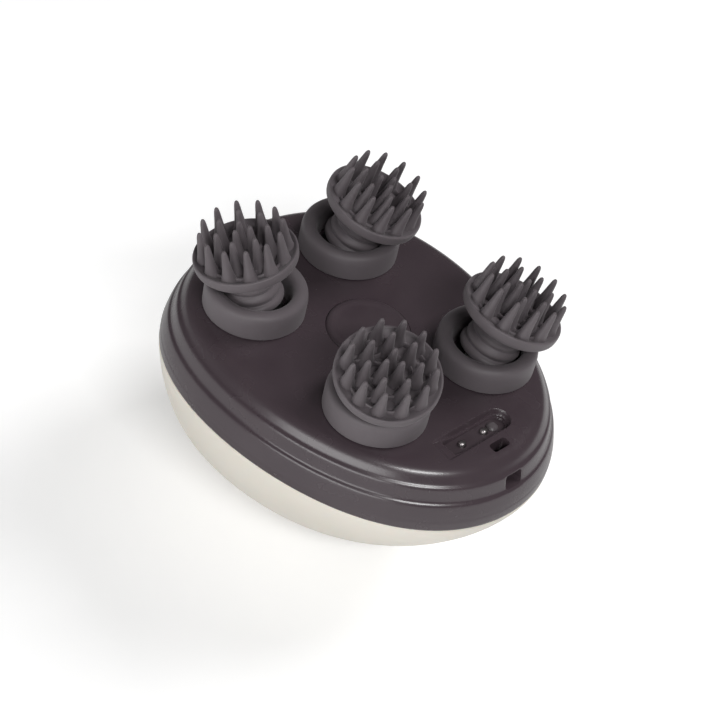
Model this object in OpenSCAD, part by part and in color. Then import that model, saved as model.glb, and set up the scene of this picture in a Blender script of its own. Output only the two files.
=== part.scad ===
// Four-head electric scalp massager. Millimetres, +Z up through the heads.
// The part stands on the flat ring round its power button, with the heads up.
// +X runs towards the charging end, and the outline is the same on both sides of XZ.

/* [Body] */
// Length of the body at the joint line between the two shells
body_len = 120; // [112:1:130]
// Width of the body at the joint line
body_w = 97; // [92:1:108]
// How much the charging end is narrower than the other, as a share of the half width
egg = 0.12; // [0.04:0.02:0.14]
// Exponent of the oval, 2 being an ellipse
squareness = 2.2; // [2.1:0.05:2.6]
// Height of the joint line above the floor
dome_depth = 45; // [42:1:56]
// How far the lowest point of the dome lies behind the middle
dome_shift = 16; // [10:1:18]
// Wall of both shells
wall = 2.4; // [2:0.1:2.8]
// Thickness of the head plate, the flat top of the upper shell
plate_t = 2.4; // [2:0.1:3]
// Height of the soft crease in the lowest tier of the rim
crease_h = 4.5; // [3.5:0.1:5]
// Height of the first step of the rim
step1_h = 8.6; // [8.2:0.1:8.8]
// Inset of the first step
step1_in = 1.5; // [1.2:0.1:1.9]
// Height of the second step of the rim
step2_h = 13.3; // [13.1:0.1:13.5]
// Inset of the second step
step2_in = 3.6; // [3.2:0.1:4]
// Inset of the shoulder where the rim turns into the plate
lip_in = 7; // [6.4:0.1:7.6]
// Height of the head plate above the joint line
plate_h = 17.8; // [17.4:0.1:19]

/* [Heads] */
// Distance of each head axis from the drive gear
head_reach = 32.5; // [32.3:0.1:32.8]
// Place of the drive gear along the body
drive_x = -3; // [-3.6:0.2:-2.6]
// Place of the drive gear across the body
drive_y = 1.2; // [0.8:0.1:1.4]
// Direction of head 1 from the drive gear, in degrees from +X
head_1_angle = -136.5; // [-138:0.5:-135]
// Direction of head 2 from the drive gear
head_2_angle = 148.5; // [147:0.5:150]
// Direction of head 3 from the drive gear
head_3_angle = -40.5; // [-42:0.5:-40]
// Direction of head 4 from the drive gear
head_4_angle = 34.5; // [34:0.5:36]
// Lean of every head from the vertical
head_tilt = 16; // [12:1:16]
// Directions in which heads 1 to 4 lean at rest, in degrees from +X
lean_1 = 220; // [0:5:360]
// Direction in which head 2 leans
lean_2 = 45; // [0:5:360]
// Direction in which head 3 leans
lean_3 = 320; // [0:5:360]
// Direction in which head 4 leans
lean_4 = 65; // [0:5:360]
// How far above the head plate the leaning axis of a head crosses its upright one
axis_rise = 1; // [0.5:0.5:1.5]
// Distance along the leaning axis from the head plate to the underside of a head disc
disc_up = 15.5; // [15:0.5:18]
// Outer radius of a head disc
disc_r = 14.5; // [12.5:0.1:14.8]
// Turn of the prongs of head 1 round its own axis
phase_1 = 16; // [0:1:30]
// Turn of the prongs of head 2
phase_2 = 7; // [0:1:30]
// Turn of the prongs of head 3
phase_3 = 17; // [0:1:30]
// Turn of the prongs of head 4
phase_4 = 20; // [0:1:30]
// Height of the prongs above the disc floor
prong_h = 10; // [8:0.5:12.5]
// Radius of a prong at its foot
prong_r = 2.4; // [1.8:0.1:2.6]
// Prongs in the outer ring
outer_prongs = 12; // [9:1:13]
// Prongs in the inner ring
inner_prongs = 7; // [5:1:8]
// Prongs round the middle
middle_prongs = 3; // [3:1:4]

/* [Collars] */
// Outer radius of a collar
collar_r = 14.4; // [14:0.1:15]
// Radius of the hole through a collar
collar_hole_r = 9.8; // [9.8:0.1:10.2]
// Height of a collar above the plate
collar_h = 8.2; // [7:0.1:8.6]

/* [Gears] */
// Tooth module of the second stage
second_module = 0.8; // [0.75:0.01:0.82]
// Tooth module of the first stage
first_module = 0.6; // [0.56:0.01:0.61]
// Teeth of every small gear
pinion_teeth = 12; // [12:1:13]
// Teeth of the second wheel
second_teeth = 34; // [32:1:35]
// Teeth of the first wheel
first_teeth = 38; // [35:1:38]
// Play at the pitch circle between two gears in mesh
backlash = 0.24; // [0.2:0.02:0.4]

/* [Motor and battery] */
// Radius of the motor
motor_r = 12; // [10:0.5:13]
// Length of the motor can
motor_len = 27; // [22:1:30]
// Radius of the battery cell
cell_r = 9.1; // [7:0.1:9.4]
// Length of the battery cell
cell_len = 65; // [48:1:66]
// Place of the battery cell along the body
cell_x = -26; // [-28:0.5:-24]

/* [Button and charging] */
// Radius of the power button
button_r = 9; // [7:0.5:9.5]
// Travel of the power button
button_travel = 0.6; // [0.4:0.1:0.7]
// Width of the charging recess
recess_w = 7.4; // [6.8:0.1:8]
// Depth of the charging recess
recess_depth = 1.8; // [1.4:0.1:2]
// Spacing of the two charging contacts
contact_gap = 8.4; // [7.6:0.1:8.8]
// Width of the lanyard eye across the body
slot_w = 6; // [5.4:0.1:7]
// Height of the eye's hole in the rim
slot_h = 4.1; // [4.1:0.1:4.3]
// Length of the eye's slot in the head plate, along the body
slot_len = 2.8; // [2.4:0.1:3.4]

/* [Hidden] */

$fn = 64;
facets = 72;             // sides of the oval
z0 = dome_depth;         // joint line above the floor
half_l = body_len / 2;
half_w = body_w / 2;
fit = 0.05;              // radial play of every running and seated fit

// Colours
shell_tone = [0.31, 0.28, 0.30];
rubber_tone = [0.35, 0.33, 0.34];
ivory = [0.87, 0.84, 0.79];
white_gear = [0.90, 0.89, 0.86];
steel = [0.72, 0.73, 0.75];

// ---- The oval outline -------------------------------------------------------------------

function bent(v) = sign(v) * pow(abs(v), 2 / squareness);

// One ring of the oval with half axes a and b, moved along X
function ring(a, b, z, x = 0) = [for (i = [0:facets - 1])
    let(c = bent(cos(360 * i / facets)), s = bent(sin(360 * i / facets)))
    [x + a * c, b * s * (1 - egg * c), z]];

function inset_ring(inset, z) = ring(half_l - inset, half_w - inset, z);
function flat(points) = [for (p = points) [p[0], p[1]]];

// A closed skin over rings. With a pole at each cap it goes over the outside, turns at the
// poles and comes back along the inside, and the last ring joins the first.
module skin(outer, inner, up = true) {
    rings = concat(outer, inner);
    count = len(rings);
    last_outer = len(outer) - 1;
    points = concat([for (r = rings) for (p = r) p],
        [[outer[last_outer][0][0] - (outer[last_outer][0][0] - outer[last_outer][facets / 2][0]) / 2,
          0, outer[last_outer][0][2]],
         [inner[0][0][0] - (inner[0][0][0] - inner[0][facets / 2][0]) / 2, 0, inner[0][0][2]]]);
    pole = count * facets;
    sides = [for (k = [0:count - 1]) if (k != last_outer)
        for (i = [0:facets - 1])
        let(j = (i + 1) % facets, a = k * facets, b = ((k + 1) % count) * facets)
        each [[a + i, b + i, b + j], [a + i, b + j, a + j]]];
    caps = [for (i = [0:facets - 1])
        let(j = (i + 1) % facets, a = last_outer * facets, b = (last_outer + 1) * facets)
        each [[a + j, a + i, pole], [b + i, b + j, pole + 1]]];
    faces = concat(sides, caps);
    polyhedron(points, up ? faces : [for (f = faces) [f[2], f[1], f[0]]]);
}

// A closed band round the oval, from a closed profile of [inset, z]
module band(profile) {
    count = len(profile);
    points = [for (q = profile) for (p = inset_ring(q[0], q[1])) p];
    faces = [for (k = [0:count - 1]) for (i = [0:facets - 1])
        let(j = (i + 1) % facets, a = k * facets, b = ((k + 1) % count) * facets)
        each [[a + i, b + i, b + j], [a + i, b + j, a + j]]];
    polyhedron(points, faces);
}

// ---- Upper shell ------------------------------------------------------------------------

plate_top = z0 + plate_h;
roof = plate_top - plate_t;
plate_in = lip_in + 4.5;     // inset at which the plate is flat
ledge = 0.25;                // rise of the ledge on top of each step
round_in = 0.5;              // inset of the rounding of each step

rim_profile = [
    [0, 0], [0.1, crease_h - 1.2], [0.45, crease_h - 0.3], [0.75, crease_h + 0.2],
    [step1_in - 0.4, step1_h - 1.4], [step1_in, step1_h - 0.35], [step1_in + round_in, step1_h],
    [step2_in - 1.1, step1_h + ledge], [step2_in - 0.6, step1_h + 0.8],
    [step2_in - 0.35, step2_h - 1.3], [step2_in, step2_h - 0.35], [step2_in + round_in, step2_h],
    [lip_in - 2.2, step2_h + ledge], [lip_in - 1.8, plate_h - 3.5], [lip_in - 1.4, plate_h - 2.5],
    [lip_in - 0.7, plate_h - 1.5], [lip_in + 0.4, plate_h - 0.8], [lip_in + 1.9, plate_h - 0.35],
    [lip_in + 3.3, plate_h - 0.1], [plate_in, plate_h]];

inner_profile = [
    [plate_in + 1.5, plate_h - plate_t], [lip_in + 4, plate_h - plate_t - 0.6],
    [lip_in + wall - 1.2, plate_h - plate_t - 1.6], [step2_in + wall + 0.9, step2_h - 1.8],
    [step1_in + wall + 0.6, step1_h - 1], [wall + 0.3, crease_h - 1], [wall, 0]];

// Head axes and their rest leans
leans = [lean_1, lean_2, lean_3, lean_4];
phases = [phase_1, phase_2, phase_3, phase_4];
head_angles = [head_1_angle, head_2_angle, head_3_angle, head_4_angle];
drive_xy = [drive_x, drive_y];
function polar(r, a) = r * [cos(a), sin(a)];
function head_xy(i) = drive_xy + polar(head_reach, head_angles[i - 1]);

bush_r = 7;              // body of a bush, through the plate
bush_flange_r = 8.4;
bush_flange_t = 1;
bush_down = 1.9;         // from the roof to the lower end of a bush
journal_r = 5;
pad_r = collar_r + 0.2;  // stiffening round under a collar
pad_t = 1.6;

cap_x = -2.2;            // cap in the middle of the plate, over the drive gear
cap_r = 12;
cap_seat = 1;            // depth of its seat
cap_rise = 0.7;
cap_bevel = 1.2;

// Charging recess and lanyard eye
recess_back = 17.3;      // from the end of the body to the middle of the recess
recess_x = half_l - recess_back;
recess_from = -15.6;
recess_to = 9.9;
window_w = recess_w - 2.2;
window_from = recess_from + 3;
window_to = recess_to - 1.1;
recess_floor = plate_top - 0.15 - recess_depth;
block_base = recess_floor - 4;
block_wall = 1.2;
slot_back = 10.3;        // from the end of the body to the eye's slot
slot_x = half_l - slot_back;
eye_base = z0 + step1_h;
eye_wall = 1.6;

// Bosses that the gear deck is screwed to
deck_top = z0 + 2.8;
deck_t = 2.4;
boss_r = 3;
boss_wall = 2;
side_boss_in = 12;       // from the side of the body to a boss
end_boss_in = 10;
front_boss = [recess_x - 8.7, 5];
boss_xy = [[drive_x, -half_w + side_boss_in], [-half_l + end_boss_in, 0],
           front_boss, [front_boss[0], -front_boss[1]], [14, half_w - side_boss_in - 1.5]];
screw_r = 1;
roof_boss = 1.4;         // how far the bosses of the two long axles stand down from the roof
screw_head_r = 2;
screw_head_t = 1.3;

module rounded_slot(w, from, to, h) {
    // Square at its -Y end and round at its +Y end
    translate([-w / 2, from, 0]) cube([w, to - w / 2 - from, h]);
    translate([0, to - w / 2, 0]) cylinder(r = w / 2, h = h);
}

module upper_shell() color(shell_tone) {
    difference() {
        union() {
            skin([for (q = rim_profile) inset_ring(q[0], z0 + q[1])],
                 [for (q = inner_profile) inset_ring(q[0], z0 + q[1])]);
            for (i = [1:4]) translate([each head_xy(i), roof - pad_t])
                cylinder(r = pad_r, h = plate_t + pad_t);
            for (p = boss_xy) translate([each p, deck_top])
                cylinder(r = boss_r, h = roof + 0.3 - deck_top);
            translate([each drive_xy, roof - roof_boss]) cylinder(r = axle_r + boss_wall, h = roof_boss + 1);
            translate([each second_xy, roof - roof_boss]) cylinder(r = pin_r + boss_wall, h = roof_boss + 1);
            translate([recess_x - recess_w / 2 - block_wall, recess_from - block_wall, block_base])
                cube([recess_w + 2 * block_wall, recess_to - recess_from + 2 * block_wall,
                      roof + 1 - block_base]);
            for (b = [[step2_in + 0.9, step2_h - 0.8], [lip_in - 0.4, plate_h - plate_t]])
                translate([slot_x - slot_len / 2 - eye_wall, -slot_w / 2 - eye_wall, eye_base - eye_wall])
                    cube([half_l - b[0] - slot_x + slot_len / 2 + eye_wall, slot_w + 2 * eye_wall,
                          z0 + b[1] - eye_base + eye_wall]);
        }
        for (i = [1:4]) translate([each head_xy(i), 0]) {
            translate([0, 0, roof - 3]) cylinder(r = bush_r + fit, h = plate_t + 4);
            translate([0, 0, plate_top - bush_flange_t - fit]) cylinder(r = bush_flange_r + fit, h = 3);
        }
        translate([cap_x, 0, plate_top - cap_seat - fit]) cylinder(r = cap_r + fit, h = 3);
        translate([each drive_xy, z0]) cylinder(r = axle_r + fit, h = plate_h - plate_t + 0.2);
        translate([each second_xy, z0]) cylinder(r = pin_r + fit, h = plate_h - plate_t + 0.2);
        for (p = boss_xy) translate([each p, z0])
            cylinder(r = screw_r + fit, h = deck_top - z0 + deck_screw_in + 1);
        translate([recess_x, 0, recess_floor])
            rounded_slot(recess_w, recess_from, recess_to, recess_depth + 3);
        translate([recess_x, 0, block_base - 1])
            rounded_slot(window_w + 2 * fit, window_from - fit, window_to + fit, 8);
        translate([slot_x - slot_len / 2, -slot_w / 2, eye_base])
            cube([slot_len, slot_w, plate_h]);
        translate([slot_x - slot_len / 2, -slot_w / 2, eye_base])
            cube([half_l, slot_w, slot_h]);
    }
}

module centre_cap() color(shell_tone)
    translate([cap_x, 0, plate_top - cap_seat]) {
        cylinder(r = cap_r, h = cap_seat + 0.1);
        translate([0, 0, cap_seat + 0.1]) cylinder(r1 = cap_r, r2 = cap_r - cap_bevel, h = cap_rise - 0.1);
    }

// ---- Lower shell ------------------------------------------------------------------------

dome_bluntness = 3.8;
dome_fall = 1.3;
base_cut = 0.985;        // share of the full dome kept above the flat base
floor_t = 2.6;
tongue_h = 2.2;
tongue_t = 1.35;
tongue_gap = 0.15;
seal_in = 0.9;
seal_w = 1;
seal_t = 0.7;

function dome_size(u) = pow(1 - pow(u * base_cut, dome_fall), 1 / dome_bluntness);
function dome_ring(u, inset, depth) = ring(half_l * dome_size(u) - inset,
    half_w * dome_size(u) - inset, z0 - u * depth, -dome_shift * pow(u, 1.4));

button_x = -dome_shift;
dimple_margin = 3;
dimple_r = button_r + dimple_margin;
dimple_depth = 2.2;
collar_boss_t = 2.4;     // floor round the button's bore
bore_r = button_r + 0.4;

board_len = 38;
board_w = 30;
board_t = 1.6;
board_z = 13;
post_r = 2.4;
post_in = 3;             // from the edges of the board to its screws
board_screw_len = 7;
post_xy = [for (sx = [-1, 1]) for (sy = [-1, 1])
    [button_x + sx * (board_len / 2 - post_in), sy * (board_w / 2 - post_in)]];

module lower_shell() color(ivory) {
    steps = [0, 0.06, 0.14, 0.24, 0.35, 0.46, 0.57, 0.67, 0.76, 0.84, 0.9, 0.95, 0.98, 1];
    tongue_in = wall + tongue_gap;
    difference() {
        union() {
            skin([for (u = steps) dome_ring(u, 0, dome_depth)],
                 concat([for (k = [len(steps) - 1:-1:1])
                            dome_ring(steps[k], wall, dome_depth - floor_t)],
                        [inset_ring(tongue_in + tongue_t, z0 - 1.5),
                         inset_ring(tongue_in + tongue_t, z0 + tongue_h),
                         inset_ring(tongue_in, z0 + tongue_h),
                         inset_ring(tongue_in, z0),
                         inset_ring(seal_in + seal_w, z0), inset_ring(seal_in + seal_w, z0 - seal_t),
                         inset_ring(seal_in, z0 - seal_t), inset_ring(seal_in, z0)]), false);
            translate([button_x, 0, 1]) cylinder(r = dimple_r + boss_wall, h = dimple_depth + collar_boss_t - 1);
            for (p = post_xy) translate([each p, 2]) cylinder(r = post_r, h = board_z - 2);
        }
        translate([button_x, 0, -1]) cylinder(r = dimple_r, h = dimple_depth + 1);
        translate([button_x, 0, 0]) cylinder(r = bore_r, h = 12);
        for (p = post_xy) translate([each p, board_z - 7]) cylinder(r = screw_r + fit, h = 8);
    }
}

module shell_seal() color([0.2, 0.2, 0.21])
    band([[seal_in + fit, z0 - seal_t + fit], [seal_in + fit, z0 - fit],
          [seal_in + seal_w - fit, z0 - fit], [seal_in + seal_w - fit, z0 - seal_t + fit]]);

// ---- Gears ------------------------------------------------------------------------------

pressure = 20;
addendum = 0.8;          // in modules
dedendum = 1.1;
drive_teeth = 40;
head_teeth = 25;
drive_module = 2 * head_reach / (drive_teeth + head_teeth);

function involute(a) = tan(a) * 180 / PI - a;

// Half angle of a tooth at radius r
function tooth_half(r, n, m) =
    let(pitch = n * m / 2, base = pitch * cos(pressure))
    90 / n - backlash / 4 / pitch * 180 / PI + involute(pressure)
    - involute(acos(min(1, base / max(r, base))));

module gear(n, m, h) {
    pitch = n * m / 2;
    root = pitch - dedendum * m;
    tip = pitch + addendum * m;
    radii = [root, max(root + 0.1 * m, pitch * cos(pressure)), pitch, (pitch + tip) / 2, tip];
    linear_extrude(h) polygon([for (k = [0:n - 1]) each concat(
        [for (r = radii) let(a = 360 * k / n - tooth_half(r, n, m)) r * [cos(a), sin(a)]],
        [for (i = [4:-1:0]) let(r = radii[i], a = 360 * k / n + tooth_half(r, n, m))
            r * [cos(a), sin(a)]])]);
}

// Turn that puts a gear of n2 teeth in mesh with one of n1 teeth that lies at turn1,
// when the second lies in direction dir from the first
function mesh_turn(dir, n1, turn1, n2) = dir + 180 - 180 / n2 + (dir - turn1) * n1 / n2;

// Three layers of gears share the room between the deck and the pads under the collars
layer_gap = 0.5;
roof_gap = 0.8;          // left between the top layer and the pads
gear_room = roof - pad_t - roof_gap - deck_top - 3 * layer_gap;
layer1_t = 0.42 * gear_room;
layer2_t = 0.3 * gear_room;
layer3_t = 0.28 * gear_room;
layer3 = deck_top + layer_gap;                  // first wheel
layer2 = layer3 + layer3_t + layer_gap;         // second wheel
layer1 = layer2 + layer2_t + layer_gap;         // drive gear and head gears
axle_r = 2;
pin_r = 1.5;

second_dir = 90;         // second gear, seen from the drive gear
first_dir = -50;         // first gear, seen from the second
motor_dir = -90;         // motor, seen from the first
second_reach = drive_module * (drive_teeth + pinion_teeth) / 2;
first_reach = second_module * (second_teeth + pinion_teeth) / 2;
motor_reach = first_module * (first_teeth + pinion_teeth) / 2;
second_xy = drive_xy + polar(second_reach, second_dir);
first_xy = second_xy + polar(first_reach, first_dir);
motor_xy = first_xy + polar(motor_reach, motor_dir);

drive_turn = 0;
second_turn = mesh_turn(second_dir, drive_teeth, drive_turn, pinion_teeth);
first_turn = mesh_turn(first_dir, second_teeth, second_turn, pinion_teeth);
motor_turn = mesh_turn(motor_dir, first_teeth, first_turn, pinion_teeth);

module drive_gear() color(white_gear) translate([each drive_xy, 0]) difference() {
    union() {
        translate([0, 0, layer1]) gear(drive_teeth, drive_module, layer1_t);
        translate([0, 0, layer1 - 0.2]) cylinder(r = axle_r + boss_wall, h = roof - roof_boss - layer1 - 0.2);
    }
    translate([0, 0, z0]) cylinder(r = axle_r + fit, h = plate_h);
}

module drive_axle() color(steel) translate([each drive_xy, deck_top - deck_t])
    cylinder(r = axle_r, h = roof - deck_top + deck_t);

module second_gear() color([0.20, 0.36, 0.55]) translate([each second_xy, 0])
    rotate(second_turn) difference() {
        union() {
            translate([0, 0, layer2]) gear(second_teeth, second_module, layer2_t);
            translate([0, 0, layer2 + layer2_t]) gear(pinion_teeth, drive_module,
                layer1 + layer1_t - layer2 - layer2_t);
            translate([0, 0, layer2]) cylinder(r = pin_r + 1.6, h = roof - roof_boss - layer2 - 0.3);
        }
        translate([0, 0, z0]) cylinder(r = pin_r + fit, h = plate_h);
    }

module second_axle() color(steel) translate([each second_xy, deck_top - deck_t])
    cylinder(r = pin_r, h = roof - deck_top + deck_t);

module first_gear() color([0.60, 0.22, 0.20]) translate([each first_xy, 0])
    rotate(first_turn) difference() {
        union() {
            translate([0, 0, layer3]) gear(first_teeth, first_module, layer3_t);
            translate([0, 0, layer3 + layer3_t]) gear(pinion_teeth, second_module,
                layer2 + layer2_t - layer3 - layer3_t);
        }
        translate([0, 0, z0]) cylinder(r = pin_r + fit, h = plate_h);
    }

module first_axle() color(steel) translate([each first_xy, deck_top - deck_t])
    cylinder(r = pin_r, h = layer1 - 0.4 - deck_top + deck_t);

// ---- Heads ------------------------------------------------------------------------------

pin_top = disc_up - 2.6;     // end of the crank pin inside the hub, from the plate
crank_r = 2.5;
stem_r = 5;
hub_flange_r = 10;
hub_flange_t = 1;
boot_foot_r = 7.4;
boot_top_r = 6.3;
boot_from = 2.7;
disc_floor = 2.4;            // top of the disc floor above its underside
disc_rim = 3.8;

// Places its children on the leaning axis of head i, with Z along that axis
module leaning(i) translate([each head_xy(i), plate_top + axis_rise]) rotate([0, 0, leans[i - 1]])
    rotate([0, head_tilt, 0]) translate([0, 0, -axis_rise]) children();

module head_bush(i) color([0.70, 0.58, 0.32]) translate([each head_xy(i), 0]) difference() {
    union() {
        translate([0, 0, roof - bush_down]) cylinder(r = bush_r, h = plate_t + bush_down);
        translate([0, 0, plate_top - bush_flange_t]) cylinder(r = bush_flange_r, h = bush_flange_t);
    }
    translate([0, 0, roof - 3]) cylinder(r = journal_r + fit, h = plate_t + 4);
}

module output_gear(i) color(white_gear) {
    turn = mesh_turn(head_angles[i - 1], drive_teeth, drive_turn, head_teeth);
    translate([each head_xy(i), 0]) {
        translate([0, 0, layer1]) rotate(turn) gear(head_teeth, drive_module, layer1_t);
        translate([0, 0, deck_top - deck_t + 0.2]) cylinder(r = axle_r, h = layer1 - deck_top + deck_t);
        translate([0, 0, layer1 + 1]) cylinder(r = journal_r, h = plate_top + 0.8 - layer1 - 1);
    }
    leaning(i) translate([0, 0, -1]) cylinder(r = crank_r, h = pin_top + 1);
}

module head_hub(i) color([0.80, 0.80, 0.79]) leaning(i) difference() {
    union() {
        translate([0, 0, boot_from + 0.3]) cylinder(r = stem_r, h = disc_up - boot_from - 0.3);
        translate([0, 0, disc_up]) cylinder(r = hub_flange_r, h = hub_flange_t);
    }
    translate([0, 0, -1]) cylinder(r = crank_r + fit, h = pin_top + 1 + fit);
}

module neck_boot(i) color(rubber_tone) leaning(i) rotate_extrude()
    polygon([[stem_r + fit, boot_from], [boot_foot_r - 0.4, boot_from], [boot_foot_r, boot_from + 0.5],
             [boot_foot_r - 0.1, boot_from + 2.2], [boot_foot_r - 0.9, boot_from + 2.9],
             [boot_foot_r - 0.7, boot_from + 3.4], [boot_foot_r - 1, boot_from + 5],
             [boot_top_r + 0.2, boot_from + 5.7], [boot_top_r + 0.3, boot_from + 6.2],
             [boot_top_r, boot_from + 7.6],
             [boot_top_r, disc_up - 1.2], [boot_top_r + 0.8, disc_up - fit],
             [stem_r + fit, disc_up - fit]]);

module prong() rotate_extrude()
    polygon([[0, -0.6], [prong_r, -0.6], [prong_r, 0.1], [prong_r * 0.86, prong_h * 0.12],
             [prong_r * 0.56, prong_h * 0.5], [prong_r * 0.26, prong_h - 0.8],
             [prong_r * 0.17, prong_h - 0.2], [0, prong_h]]);

// Rings of prongs: how many, at what radius, from what angle
prong_rings = [[outer_prongs, disc_r - 2.6, 0], [inner_prongs, disc_r - 7.2, 12],
               [middle_prongs, 2.4, 40]];

module scalp_head(i) color(rubber_tone) leaning(i) translate([0, 0, disc_up]) rotate(phases[i - 1]) {
    rotate_extrude() polygon([
        [hub_flange_r + fit, 0], [disc_r - 1.6, 0], [disc_r - 0.5, 0.35],
        [disc_r, 1.1], [disc_r, disc_rim - 0.3], [disc_r - 0.3, disc_rim], [disc_r - 0.7, disc_rim],
        [disc_r - 1.2, disc_floor + 0.3], [disc_r - 2.4, disc_floor],
        [0, disc_floor], [0, hub_flange_t + fit], [hub_flange_r + fit, hub_flange_t + fit]]);
    for (r = prong_rings) for (k = [0:r[0] - 1])
        rotate(r[2] + 360 * k / r[0]) translate([r[1], 0, disc_floor]) prong();
}

// A soft collar with a rounded top round each neck
module collar(i) color(rubber_tone) {
    tube = (collar_r - collar_hole_r) / 2;
    mid = collar_r - tube;
    foot_r = bush_flange_r + 0.8;
    translate([each head_xy(i), plate_top]) rotate_extrude() polygon(concat(
        [[foot_r, 0], [collar_r - 0.3, 0], [collar_r, 0.5]],
        [for (a = [0:15:180]) [mid + tube * cos(a), collar_h - tube + tube * sin(a)]],
        [[collar_hole_r, 1.6], [foot_r, 0.9]]));
}

// ---- Motor and deck ---------------------------------------------------------------------

shaft_r = 1;
shaft_in = 14;           // length of the shaft inside the motor
screw_reach = 8;         // from the motor's axis to each of its screws, along X
motor_neck_r = 3;
motor_neck_t = 1.4;
motor_tail_r = 3.5;
motor_tail_t = 1.8;

module motor_pinion() color([0.75, 0.62, 0.30]) translate([each motor_xy, layer3 - 0.2])
    rotate(motor_turn) difference() {
        gear(pinion_teeth, first_module, layer3_t + 0.4);
        translate([0, 0, -1]) cylinder(r = shaft_r + 0.02, h = 6);
    }

module motor_shaft() color(steel) translate([each motor_xy, deck_top - deck_t - shaft_in])
    cylinder(r = shaft_r, h = layer3 + layer3_t - deck_top + deck_t + shaft_in);

module motor_body() color([0.66, 0.67, 0.69]) translate([each motor_xy, deck_top - deck_t])
    difference() {
        union() {
            translate([0, 0, -motor_len]) cylinder(r = motor_r, h = motor_len);
            cylinder(r = motor_neck_r, h = motor_neck_t);
            translate([0, 0, -motor_len - motor_tail_t]) cylinder(r = motor_tail_r, h = motor_tail_t + 0.2);
        }
        translate([0, 0, -shaft_in - 1]) cylinder(r = shaft_r + fit, h = shaft_in + 4);
        for (s = [-1, 1]) translate([s * screw_reach, 0, -5]) cylinder(r = screw_r + fit, h = 6);
    }

module motor_screws() color(steel) for (s = [-1, 1])
    translate([motor_xy[0] + s * screw_reach, motor_xy[1], 0]) {
        translate([0, 0, deck_top - deck_t - 4]) cylinder(r = screw_r, h = deck_t + 3.4);
        translate([0, 0, deck_top - 0.7]) cylinder(r = screw_head_r - 0.2, h = 0.7);
    }

cell_z = deck_top - deck_t - 0.6 - cell_r;
cradle_t = 1.2;
cradle_len = cell_len - 24;
lug_w = 6;
lug_t = 2;
lug_y = [-cradle_len / 2 + lug_w / 2 + 1, cradle_len / 2 - lug_w / 2 - 1];
lug_x = cell_r + cradle_t + 3;   // from the cell's axis to a lug's screw
cradle_screw_in = 2;             // its length inside the deck

module deck_boss(p, r, top) translate([each p, deck_top - 0.5]) cylinder(r = r, h = top - deck_top + 0.5);

module gear_deck() color([0.83, 0.82, 0.80]) difference() {
    union() {
        translate([0, 0, deck_top - deck_t]) linear_extrude(deck_t)
            polygon(flat(inset_ring(wall + 3.4, 0)));
        deck_boss(drive_xy, axle_r + 1.8, layer1 - layer_gap);
        deck_boss(second_xy, pin_r + 1.8, layer2 - 0.3);
        for (i = [1:4]) deck_boss(head_xy(i), axle_r + 1.6, layer1 - 0.3);
        deck_boss(first_xy, pin_r + 1.5, layer3 - 0.2);
    }
    for (i = [1:4]) translate([each head_xy(i), z0 - 5]) cylinder(r = axle_r + fit, h = 20);
    translate([each drive_xy, z0 - 5]) cylinder(r = axle_r + fit, h = 20);
    translate([each second_xy, z0 - 5]) cylinder(r = pin_r + fit, h = 20);
    translate([each first_xy, z0 - 5]) cylinder(r = pin_r + fit, h = 20);
    translate([each motor_xy, z0 - 5]) cylinder(r = motor_neck_r + 0.2, h = 20);
    for (s = [-1, 1]) translate([motor_xy[0] + s * screw_reach, motor_xy[1], 0]) {
        translate([0, 0, z0 - 5]) cylinder(r = screw_r + fit, h = 20);
        translate([0, 0, deck_top - 0.75]) cylinder(r = screw_head_r - 0.15, h = 3);
    }
    for (p = boss_xy) translate([each p, z0 - 5]) cylinder(r = screw_r + fit, h = 20);
    for (sx = [-1, 1]) for (y = lug_y) translate([cell_x + sx * lug_x, y, z0 - 5])
        cylinder(r = screw_r + fit, h = 8);
}

deck_screw_in = 7.8;         // length of a deck screw inside its boss

module deck_screws() color(steel) for (p = boss_xy) translate([each p, 0]) {
    translate([0, 0, deck_top - deck_t - 0.2]) cylinder(r = screw_r, h = deck_t + deck_screw_in + 0.2);
    translate([0, 0, deck_top - deck_t - screw_head_t]) cylinder(r = screw_head_r, h = screw_head_t);
}

// ---- Battery ----------------------------------------------------------------------------

module along_y(r, l) rotate([90, 0, 0]) translate([0, 0, -l / 2]) cylinder(r = r, h = l);

module battery_cell() color([0.16, 0.42, 0.62]) translate([cell_x, 0, cell_z]) {
    along_y(cell_r, cell_len);
    translate([0, cell_len / 2, 0]) along_y(cell_r * 0.32, 2);
}

module battery_cradle() color([0.83, 0.82, 0.80]) {
    deck_under = deck_top - deck_t;
    difference() {
        union() {
            translate([cell_x, 0, cell_z]) along_y(cell_r + cradle_t + fit, cradle_len);
            translate([cell_x - cell_r - cradle_t, -cradle_len / 2, cell_z])
                cube([2 * (cell_r + cradle_t), cradle_len, deck_under - cell_z]);
            for (sx = [-1, 1]) for (y = lug_y)
                translate([cell_x + sx * lug_x - lug_w / 2 - 0.5, y - lug_w / 2, deck_under - lug_t])
                    cube([lug_w + 1, lug_w, lug_t]);
        }
        translate([cell_x, 0, cell_z]) along_y(cell_r + fit, cradle_len + 2);
        translate([cell_x - cell_r - fit, -cradle_len, cell_z])
            cube([2 * (cell_r + fit), 2 * cradle_len, 30]);
        for (sx = [-1, 1]) for (y = lug_y) translate([cell_x + sx * lug_x, y, z0 - 5])
            cylinder(r = screw_r + fit, h = 12);
    }
}

module cradle_screws() color(steel) for (sx = [-1, 1]) for (y = lug_y)
    translate([cell_x + sx * lug_x, y, deck_top - deck_t]) {
        translate([0, 0, -lug_t - 0.2]) cylinder(r = screw_r, h = lug_t + 0.2 + cradle_screw_in);
        translate([0, 0, -lug_t - screw_head_t]) cylinder(r = screw_head_r, h = screw_head_t);
    }

// ---- Board and button -------------------------------------------------------------------

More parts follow.
